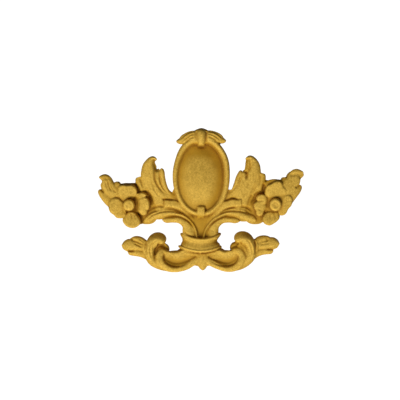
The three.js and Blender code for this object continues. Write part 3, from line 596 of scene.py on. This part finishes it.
def layCollar(relief):
    patch, x, z = relief.around([[0, -40]], 26)
    x = x - collar["offset"]
    downs, lefts, rights = np.array(collar["profile"]).T
    dip = 1 - (x / collar["widest"]) ** 2
    sagTop, sagFoot = collar["sag"]
    down = (collar["top"] - z - sagTop * dip) / (1 + (sagFoot - sagTop) / downs[-1] * dip)
    toRight = np.clip(x / 20 + 1, 0, 2) / 2
    radius = np.interp(down, downs, lefts) * (1 - toRight) + np.interp(down, downs, rights) * toRight
    high = np.sqrt(np.maximum(0, radius**2 - x**2)) / collar["widest"] * collar["crown"] + collar["flat"]
    inside = np.minimum(radius - np.abs(x), np.minimum(down, downs[-1] - down))
    relief.add(patch, high, inside)
    # the seam over its rim, and the shadow under its foot
    relief.cut(0, [
        [-17.4, -29.8], [-14, -32.6], [-10, -34.8], [-6, -36.2], [0, -36.9], [6, -36.6], [10, -35.6],
        [14, -34], [18, -31.6]], 1.5, 0.6, ends=(0.1, 0.1))
    relief.dent(17.4, -31.2, 1.8, 1.2, 2.2)
    relief.cut(0, [[-20.6, -46.2], [-16, -47.9], [-8, -50.2], [0, -51], [8, -50.4], [15.4, -48.3],
                   [20, -46.2]], 2.4, 0.7, ends=(0.05, 0.05))


# One C-scroll, the leaf that curls over it, the leaf tips at its outer end and the spoon inside it.
def layScroll(relief, side):
    # the hollow of the spoon rises towards its upper edge
    relief.cushion(side, 20.6, -57.2, 20, 8.3, 7.4, square=2.4, wall=0.9, tilt=(0.04, 0.42))
    relief.cushion(side, 13.4, -52, 10.4, 5.8, 8.6, wall=0.8)
    relief.cut(side, [
        [18.6, -46.8], [21.4, -48.2], [24, -49], [27.6, -49], [31, -48.2]], 4.0, 1.6, ends=(0.2, 0.1))
    relief.cushion(side, 36.4, -47.6, 5.8, 5.8, 9.4, square=2, wall=0.5, tilt=(0.3, -0.4))
    # a cove rises from the hollow to the inner edge of the C
    relief.ribbon(side, [
        [9, -57.6, 3, 8.4], [15.4, -62, 4, 9.4], [24, -65, 4.6, 10.4], [30.6, -63.6, 5, 10.8],
        [35.4, -59.4, 5, 11], [36.6, -55, 4.4, 10.6], [34.4, -51.6, 3, 9.4]], close=20, wall=0.5, full=0.85)
    relief.ribbon(side, [
        [1, -57, 3.6, 10.4], [7.4, -60.2, 3.4, 10.8], [14.6, -64.9, 3, 11.4], [24, -67.5, 2.6, 12],
        [32.4, -66, 3.2, 12.6], [38.8, -61.2, 3.8, 13.2], [40.6, -55.4, 3.8, 13], [38.2, -50.8, 3.5, 12],
        [34.6, -50, 2.9, 10.8], [31.4, -52.2, 2.2, 9.4]], close=20, wall=0.74, full=2.4)
    relief.ribbon(side, [
        [26, -67, 2.8, 9], [37.4, -64.8, 3.6, 10.4], [46, -59.6, 4.9, 11.8], [50, -52.4, 5, 13.4],
        [49, -44.4, 5.2, 14.6], [44.4, -38.9, 6.7, 15.2], [39.4, -38.4, 6.4, 14.6],
        [37.2, -42.6, 4.2, 12.6]], close=20, wall=0.56, full=1.8)
    # the head of the scroll rolls away at its top
    relief.cut(side, [
        [53, -39.6], [47.6, -34.4], [41, -33], [35.2, -35.8], [33.2, -41]], 2.9, 3.5, ends=(0.3, 0.3))
    relief.ribbon(side, [[54, -39.4, 1.5, 9.8], [55.6, -46, 1.8, 11.4], [53.4, -54.4, 1.8, 10]], close=30)
    relief.ribbon(side, [
        [53, -44, 3.4, 9.4], [58.2, -40, 3.9, 10.2], [63.2, -38.2, 3.3, 10.2], [69, -39.6, 2.6, 9.4]])
    relief.ribbon(side, [
        [54, -47, 3.8, 9.8], [61, -45, 4.2, 10.8], [69.4, -44.1, 6.3, 10.8], [74.4, -44, 4.6, 10],
        [76.8, -43.8, 2.2, 9.2]])
    relief.ribbon(side, [
        [50, -55.4, 3.8, 9.4], [57, -52.2, 3.6, 9.8], [64, -50.9, 3.6, 9.8], [70.8, -50.4, 3.6, 9]])


scrollLines = [
    ([[-34.6, -50], [-35.8, -53], [-35.8, -57], [-33.6, -61], [-28.6, -63.8], [-21.6, -64.4], [-14, -61.8],
      [-8.6, -57]], 1.8, 0.8),
    ([[35.4, -51], [36.2, -54.6], [35.2, -58.6], [31.6, -62], [25, -64], [17, -62.8], [11, -59.6], [8, -56]],
     1.8, 0.8),
    ([[-36, -43.6], [-41.4, -45.6], [-44.4, -49.6], [-45, -54.6], [-43, -60.6]], 1.5, 1.2),
    ([[-40, -44], [-36, -45.4], [-33, -47.6], [-30.4, -50.6]], 2.2, 1.5),
    ([[37, -44.4], [33.4, -44.6], [30.6, -46], [29.4, -49]], 1.6, 1.1),
    ([[34.4, -42], [37, -44.2], [39.8, -45.6], [41.4, -48.8], [42.8, -52.4], [43.4, -56], [42.8, -60]], 0.8,
     0.9),
    ([[-42, -38.8], [-46, -40.6], [-48.4, -44], [-49.2, -48], [-48.8, -53], [-46, -59]], 1.5, 0.7),
    ([[-44, -41.6], [-46.2, -45], [-46.6, -49]], 0.8, 0.6),
    ([[-50, -40.6], [-51.4, -45], [-51.4, -51], [-49.6, -57]], -0.7, 0.5),
    ([[-52.6, -41], [-53.1, -48], [-52, -54]], 1.7, 0.65),
    ([[44, -38.4], [46.6, -40.4], [48.2, -43.6], [49.3, -47.4], [49.6, -51], [47.6, -56]], 1.4, 0.6),
    ([[47.2, -39], [49.4, -43], [50.8, -47.4], [51, -52], [48.8, -57.6]], -0.9, 0.5),
    ([[51.4, -38.6], [52.9, -44], [52.7, -49.6], [51.6, -54]], 2.0, 0.85),
    ([[-69, -38.2], [-65.4, -39.2], [-61, -41], [-55.6, -43.6]], 1.7, 0.6),
    ([[-65, -42], [-60.6, -44], [-56.6, -46.4]], 1.8, 0.7),
    ([[-60, -37], [-57.6, -39.6], [-55, -41]], 0.9, 0.6),
    ([[-71.4, -48.8], [-68, -49.4], [-63.6, -49.2]], 2.6, 0.9),
    ([[-67.2, -36.6], [-66.4, -38.8]], 1.8, 0.9),
    ([[70.8, -47.4], [67.6, -47.6], [63, -47.8]], 2.2, 0.8),
    ([[67.6, -41.4], [62, -42.6], [56, -43]], 0.9, 0.8),
    ([[63, -36.4], [64.6, -38.8], [62, -41]], 1.1, 0.8),
]


# The middle: the recess between the stems, and the pendant leaf under the collar.
def layMiddle(relief):
    recess = board["ground"] + 1.8
    relief.ribbon(0, [[0, -4, 14, recess], [-1, -20, 9, recess], [-1, -32, 9, recess],
                      [-1, -38, 9, recess + 2.4]], close=60, wall=1)
    relief.cushion(1, -0.6, -49, 17, 5, 9.8, square=3, wall=1)
    relief.cushion(1, 1.2, -60, 10, 4.6, 9, wall=1)
    relief.ribbon(1, [
        [1, -50, 6.4, 10.4], [1.2, -56, 6.6, 11.2], [1.4, -61, 6.8, 11], [1.6, -68.3, 4.8, 9.4]], close=3.4)


# Patches of painted shade, browner where shade falls in hollows, under forms and on the top right of the
# dome, or of painted light, paler, where the strength is negative:
# x, z, half width, half height, strength.
shadeSpots = [
    [-5, -20, 7.4, 7, 0.95], [0, -28, 4.4, 10, 0.75], [5, -18, 7, 5, 0.35], [-27, -4, 7, 3, 0.22],
    [-29, -16.6, 8, 1.6, 0.4], [29, -17, 9, 2, 0.35], [7.6, -32, 3, 6, 0.22], [-27, 4.6, 3, 3, 0.4],
    [61, 12, 3.4, 9, 0.35], [45.8, 33.4, 3, 6.4, 0.4], [58.4, 2.4, 4.6, 3.6, 0.3], [-59.4, 4, 4, 3.6, 0.3],
    [-93, 22, 4, 4, 0.3], [5, 47.5, 13, 7.5, 0.42], [-30, -60, 5, 5, 0.35], [-22, -62, 7, 4, 0.35],
    [-13, -59, 5, 4, 0.3], [30, -60, 5, 4, 0.35], [20, -61, 7, 4, 0.3], [-34, -45, 4, 5, 0.9],
    [32, -44.4, 4, 5, 0.9], [87, 15, 6, 8, -0.35], [65.4, 17.4, 4, 2, 0.9], [40, -43, 6, 7, 0.3],
    [-12, 61, 8, 4, 0.25], [14, 60, 8, 4, 0.25],
]


def carveRelief():
    relief = Relief()
    # the painted shade and painted light of these patches
    for spot in shadeSpots:
        relief.shadeSpot(*spot)
    for side in (-1, 1):
        layGround(relief, side)
        layScroll(relief, side)
    fillScroll(relief)
    layMiddle(relief)
    relief.cutAll(scrollLines)
    for side in (-1, 1):
        layOuterLeaf(relief, side)
        layBigLeaf(relief, side)
    squareTips(relief)
    relief.cutAll(leafLines + outerLeafLines)
    for side in (-1, 1):
        layStems(relief, side)
    fillStrap(relief)
    for stations in stemRidges:
        relief.ribbon(0, stations, wall=0.7)
    relief.cutAll(stemLines)
    layBlossoms(relief)
    layCartouche(relief)
    relief.cutAll(cartoucheLines)
    layPeg(relief)
    for side in (-1, 1):
        layBow(relief, side)
    layKnot(relief)
    layCollar(relief)
    return relief


def finishRelief(relief):
    # wears the edges round, carries the height a little past the outline and adds the mould's unevenness
    there = (relief.inside > 0).astype(float)
    relief.height = worn(relief.height * there, board["worn"]) / np.maximum(worn(there, board["worn"]), 1e-4)
    relief.inside = worn(relief.inside, board["outlineWorn"])
    random = np.random.default_rng(board["seed"])
    slow = worn(random.standard_normal(relief.height.shape), board["waves"])
    relief.height += board["unevenness"] * slow / slow.std()


# The mesh: a grid laid over the board, trimmed to the outline and raised to the relief, with
# upright walls and a flat back.
applique = {
    "name": "carved_applique",
    "rimDrop": 0.9,      # the rim turns down by this much before the wall
    "leastHeight": 1.0,
    "leastWall": 0.5,
    "backSkin": 0.4,     # what lies this close to the back takes no painted shade
    "slides": 9,         # rounds in which the grid slides onto the outline
    "easedCells": 5,     # how far from the outline it eases
    "longestSlide": 2.2,
    "leastSlope": 0.02,
    "crestShade": -0.6,  # a crest counts as a recess of this at most, which paints a highlight on crests
    "rimShade": (0.1, 2.8),  # the painted shade of a recess counts for this share on the outline, and grows over this reach
    "recesses": {        # how strongly a spot counts as a recess for each reach around it, for the painted shade
        "recess": [(1.2, 0.35), (3.0, 0.16)],
        "hollow": [(6.0, 0.2)],
    },
}


def sample(field, column, row):
    # the field between its spots
    column = np.clip(column, 0, field.shape[1] - 1.001)
    row = np.clip(row, 0, field.shape[0] - 1.001)
    c, r = column.astype(int), row.astype(int)
    u, v = column - c, row - r
    low = field[r, c] * (1 - u) + field[r, c + 1] * u
    high = field[r + 1, c] * (1 - u) + field[r + 1, c + 1] * u
    return low * (1 - v) + high * v


def keptCells(inside):
    kept = inside[:-1, :-1] + inside[1:, :-1] + inside[:-1, 1:] + inside[1:, 1:] > 0
    for _ in range(4):  # cells that would only touch at a corner get a neighbour
        kept[:-1, 1:] |= kept[:-1, :-1] & kept[1:, 1:] & ~kept[1:, :-1]
        kept[:-1, :-1] |= kept[:-1, 1:] & kept[1:, :-1] & ~kept[1:, 1:]
    return kept


def gridPlaces(inside, kept):
    # where each grid point lies: those on the edge slide onto the outline, their neighbours ease after them
    padded = np.pad(kept, 1)
    corners = [padded[1:, 1:], padded[1:, :-1], padded[:-1, 1:], padded[:-1, :-1]]
    used = corners[0] | corners[1] | corners[2] | corners[3]
    edge = used & ~(corners[0] & corners[1] & corners[2] & corners[3])
    column, row = np.meshgrid(np.arange(inside.shape[1], dtype=float),
                              np.arange(inside.shape[0], dtype=float))
    downhillRow, downhillColumn = np.gradient(inside)
    near = used & (inside < applique["easedCells"] * board["cell"])
    for step in range(applique["slides"]):
        if step % 2:
            weight, sumColumn, sumRow = (np.zeros(inside.shape) for _ in range(3))
            for axis, shift in ((0, 1), (0, -1), (1, 1), (1, -1)):
                there = np.roll(used, shift, axis)
                weight += there
                sumColumn += np.where(there, np.roll(column, shift, axis), 0)
                sumRow += np.where(there, np.roll(row, shift, axis), 0)
            weight = np.maximum(weight, 1)
            column = np.where(near, (column + sumColumn / weight) / 2, column)
            row = np.where(near, (row + sumRow / weight) / 2, row)
        slopeColumn, slopeRow = sample(downhillColumn, column, row), sample(downhillRow, column, row)
        slope = np.maximum(slopeColumn**2 + slopeRow**2, applique["leastSlope"])
        longest = applique["longestSlide"]
        move = np.clip(sample(inside, column, row) / slope, -longest, longest)
        column = np.where(edge, column - move * slopeColumn, column)
        row = np.where(edge, row - move * slopeRow, row)
    return column, row


# the masks for the painted shade in recesses, and for the painted highlight on crests
def recessOf(relief, shares):
    # how deep each spot lies below what surrounds it within each reach, 1 at the deepest
    there = (relief.inside > 0).astype(float)
    deep = np.zeros(relief.height.shape)
    for reach, share in shares:
        around = worn(relief.height * there, reach) / np.maximum(worn(there, reach), 0.05)
        deep += share * (around - relief.height)
    onRim, reach = applique["rimShade"]
    return np.clip(deep, applique["crestShade"], 1) * np.clip(onRim + relief.inside / reach, onRim, 1)


def placed(name, data):
    made = bpy.data.objects.new(name, data)
    bpy.context.scene.collection.objects.link(made)
    return made


def placedMesh(name, bm):
    mesh = bpy.data.meshes.new(name)
    bm.to_mesh(mesh)
    bm.free()
    return placed(name, mesh)


def buildApplique(relief):
    kept = keptCells(relief.inside)
    column, row = gridPlaces(relief.inside, kept)
    height = sample(relief.height, column, row)
    cell = board["cell"]
    x = (relief.xs[0] + column * cell) / 1000
    z = (relief.zs[0] + row * cell) / 1000
    x = np.clip(x, cadBox[0][0], cadBox[1][0])
    z = np.clip(z, cadBox[0][2], cadBox[1][2])
    y = np.clip(-height / 1000, cadBox[0][1], -applique["leastHeight"] / 1000)
    bm = bmesh.new()
    bmesh.ops.create_grid(bm, x_segments=x.shape[1] - 1, y_segments=x.shape[0] - 1, size=1)
    for vert, spot in zip(bm.verts, np.dstack([x, y, z]).reshape(-1, 3)):
        vert.co = spot
    bmesh.ops.delete(bm, geom=[f for f, stays in zip(bm.faces, kept.ravel()) if not stays], context="FACES")
    for target in (applique["rimDrop"] / 1000, None):
        rim = [e for e in bm.edges if e.is_boundary]
        made = bmesh.ops.extrude_edge_only(bm, edges=rim)["geom"]
        for vert in (v for v in made if isinstance(v, bmesh.types.BMVert)):
            vert.co.y = 0 if target is None else min(vert.co.y + target, -applique["leastWall"] / 1000)
    backRim = [e for e in bm.edges if e.is_boundary]
    for edge in backRim:
        edge.smooth = False
    bmesh.ops.triangle_fill(bm, use_beauty=True, use_dissolve=False, edges=backRim, normal=(0, 1, 0))
    bmesh.ops.recalc_face_normals(bm, faces=bm.faces)
    for face in bm.faces:
        face.smooth = True
    piece = placedMesh(applique["name"], bm)
    mesh = piece.data
    spots = np.zeros(len(mesh.vertices) * 3)
    mesh.vertices.foreach_get("co", spots)
    spots = spots.reshape(-1, 3)
    for name, shares in applique["recesses"].items():
        # the broad hollow mask adds the board's painted shade and painted light
        spread = recessOf(relief, shares) + (relief.paintedShade if name == "hollow" else 0)
        recess = sample(spread, (spots[:, 0] * 1000 - relief.xs[0]) / cell,
                        (spots[:, 2] * 1000 - relief.zs[0]) / cell)
        recess[spots[:, 1] > -applique["backSkin"] / 1000] = 0
        mesh.attributes.new(name, "FLOAT", "POINT").data.foreach_set("value", recess.astype(np.float32))
    triangles = sum(len(p.vertices) - 2 for p in mesh.polygons)
    print("applique:", len(mesh.vertices), "vertices,", triangles, "triangles")
    return piece


# Materials. What comes out of a socket takes +, - and * like a number, and each adds a Math node.
class Value:
    def __init__(self, finish, socket):
        self.finish = finish
        self.socket = socket

    def maths(self, operation, first, second):
        made = self.finish.node("ShaderNodeMath", {0: first, 1: second}, operation=operation)
        return Value(self.finish, made.outputs[0])

    def __add__(self, other):
        return self.maths("ADD", self, other)

    def __sub__(self, other):
        return self.maths("SUBTRACT", self, other)

    def __mul__(self, other):
        return self.maths("MULTIPLY", self, other)

    def held(self, low=0.0, high=1.0):
        return self.maths("MINIMUM", self.maths("MAXIMUM", self, low), high)


class Finish:
    def __init__(self, owner):
        # `owner` is a material or a world
        self.owner = owner
        owner.use_nodes = True
        self.tree = owner.node_tree
        self.tree.nodes.clear()

    def node(self, kind, inputs=None, **settings):
        made = self.tree.nodes.new(kind)
        for key, value in settings.items():
            setattr(made, key, value)
        for key, value in (inputs or {}).items():
            if isinstance(value, Value):
                value = value.socket
            if isinstance(value, bpy.types.NodeSocket):
                self.tree.links.new(value, made.inputs[key])
            else:
                made.inputs[key].default_value = value
        return made

    def shade(self, inputs):
        shader = self.node("ShaderNodeBsdfPrincipled", inputs)
        self.node("ShaderNodeOutputMaterial", {"Surface": shader.outputs["BSDF"]})
        return self.owner

    def attribute(self, name):
        return Value(self, self.node("ShaderNodeAttribute", attribute_name=name).outputs["Fac"])

    def noise(self, where, scale, detail=2.0, roughness=0.5):
        inputs = {"Vector": where, "Scale": scale, "Detail": detail, "Roughness": roughness}
        return Value(self, self.node("ShaderNodeTexNoise", inputs).outputs["Fac"])

    def mix(self, factor, first, second):
        return self.node("ShaderNodeMix", {0: factor, 6: first, 7: second}, data_type="RGBA").outputs[2]


woodPulp = {
    "name": "wood_pulp",
    "pale": (0.80, 0.50, 0.078, 1),
    "dark": (0.42, 0.24, 0.022, 1),
    # the colour of the painted shade in hollows
    "paintedShade": (0.475, 0.25, 0.011, 1),
    # the colour of the painted shade in the deepest recesses
    "deep": (0.26, 0.11, 0.004, 1),
    # grain: scale, detail, roughness; clumps of fibre about two millimetres across, then finer and broader
    "grain": {"speck": (480, 3, 0.6), "grit": (1500, 2, 0.6), "mottle": (45, 3, 0.55)},
    "contrast": (1.5, 1.8, 0.6),
    # how much painted shade darkens the grain in recesses
    "recessShade": 0.3,
    "shadeMixing": (1.4, 0.1, 0.9),   # painted shade in hollows: for each share of hollow, everywhere, and at most
    "deepening": (1.3, 0.1, 0.85),  # painted shade in recesses: for each share of recess, less this, and at most
    "bump": (0.6, 0.5),
    "bumpStrength": 0.5,
    "bumpDepth": 0.0004,
    "roughness": 0.78,
    "roughnessSpread": 0.25,
    "specular": 0.25,
}


def paintWoodPulp():
    finish = Finish(bpy.data.materials.new(woodPulp["name"]))
    where = finish.node("ShaderNodeTexCoord").outputs["Object"]
    speck, grit, mottle = (finish.noise(where, *grain) for grain in woodPulp["grain"].values())
    recess, hollow = (finish.attribute(name) for name in applique["recesses"])
    bySpeck, byGrit, byMottle = woodPulp["contrast"]
    lightness = (speck - 0.5) * bySpeck + (grit - 0.5) * byGrit + (mottle - 0.5) * byMottle
    # painted shade in recesses, and a painted highlight on crests
    lightness = (lightness - recess * woodPulp["recessShade"] + 0.5).held()
    colour = finish.mix(lightness, woodPulp["dark"], woodPulp["pale"])
    # painted shade in hollows, mixed towards a browner colour
    rate, least, most = woodPulp["shadeMixing"]
    colour = finish.mix((hollow * rate + least).held(0, most), colour, woodPulp["paintedShade"])
    # painted shade, darkest in the deepest recesses
    rate, less, most = woodPulp["deepening"]
    colour = finish.mix((recess * rate - less).held(0, most), colour, woodPulp["deep"])
    bySpeck, byGrit = woodPulp["bump"]
    bump = finish.node("ShaderNodeBump", {
        "Strength": woodPulp["bumpStrength"],
        "Distance": woodPulp["bumpDepth"],
        "Height": speck * bySpeck + grit * byGrit,
    })
    roughness = ((speck - 0.5) * woodPulp["roughnessSpread"] + woodPulp["roughness"]).held(0.5, 1)
    return finish.shade({
        "Base Color": colour,
        "Roughness": roughness,
        "Specular IOR Level": woodPulp["specular"],
        "Normal": bump.outputs["Normal"],
    })


# The room: a pale, softly lit floor well below the wall piece, a soft key from the lower left, a lamp for the
# back, and a white surround.
studio = {
    "floorDrop": 1.5,
    # place, size and power of each lamp. All point at the origin.
    "lamps": {"key": ((-0.56, -1.62, -1.0), 1.0, 35), "back_lamp": ((0.8, 2.0, 0.5), 1.2, 30)},
    "fill": (1.0, 0.95, 0.86, 1),
    "fillStrength": 0.1,
    "floorReach": 4,
    "floorColours": ((0.80, 0.79, 0.77, 1), (0.84, 0.83, 0.81, 1)),
    "floorClouds": 1.4,
    "floorRoughness": 0.9,
    "floorGlow": 0.4,
    "white": 1.1,
    "cameraAway": 3.0,
    "faceOut": 0.007,    # the carved face stands about this far out of the wall
    "sensor": 36,
    "farthest": 50,
    "pixel": 0.000971,   # what one pixel of the picture covers on the piece
    "pictureWide": 400,
    "aside": -0.000971,
}


def layFloor():
    bm = bmesh.new()
    bmesh.ops.create_grid(bm, x_segments=8, y_segments=8, size=studio["floorReach"])
    bmesh.ops.translate(bm, verts=bm.verts, vec=(0, 0, -studio["floorDrop"]))
    floor = placedMesh("floor", bm)
    finish = Finish(bpy.data.materials.new("pale_floor"))
    where = finish.node("ShaderNodeTexCoord").outputs["Object"]
    colour = finish.mix(finish.noise(where, studio["floorClouds"]), *studio["floorColours"])
    floor.data.materials.append(finish.shade({
        "Base Color": colour,
        "Roughness": studio["floorRoughness"],
        "Emission Color": colour,
        "Emission Strength": studio["floorGlow"],
    }))


def lightStudio():
    for name, (spot, size, power) in studio["lamps"].items():
        light = bpy.data.lights.new(name, "AREA")
        light.size = size
        light.energy = power
        lamp = placed(name, light)
        lamp.location = spot
        lamp.rotation_euler = (-lamp.location).to_track_quat("-Z", "Y").to_euler()
        lamp.visible_camera = False
    world = Finish(bpy.data.worlds.new("studio"))
    bpy.context.scene.world = world.owner
    fill, white = (
        world.node("ShaderNodeBackground", {"Color": colour, "Strength": strength}).outputs[0]
        for colour, strength in ((studio["fill"], studio["fillStrength"]), ((1, 1, 1, 1), studio["white"]))
    )
    seen = world.node("ShaderNodeLightPath").outputs["Is Camera Ray"]
    either = world.node("ShaderNodeMixShader", {0: seen, 1: fill, 2: white})
    world.node("ShaderNodeOutputWorld", {"Surface": either.outputs[0]})


def setCamera():
    lens = bpy.data.cameras.new("camera")
    lens.sensor_fit = "HORIZONTAL"
    lens.sensor_width = studio["sensor"]
    lens.lens = studio["sensor"] * studio["cameraAway"] / (studio["pixel"] * studio["pictureWide"])
    lens.clip_end = studio["farthest"]
    camera = placed("camera", lens)
    camera.location = (studio["aside"], -studio["cameraAway"] - studio["faceOut"], 0)
    camera.rotation_euler = (math.pi / 2, 0, 0)
    bpy.context.scene.camera = camera
    bpy.context.scene.view_settings.view_transform = "Standard"


relief = carveRelief()
finishRelief(relief)
print("relief worked:", relief.height.shape)
piece = buildApplique(relief)
piece.data.materials.append(paintWoodPulp())
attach(piece, "root")
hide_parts("applique")
print("piece finished")
layFloor()
lightStudio()
setCamera()
print("studio set")
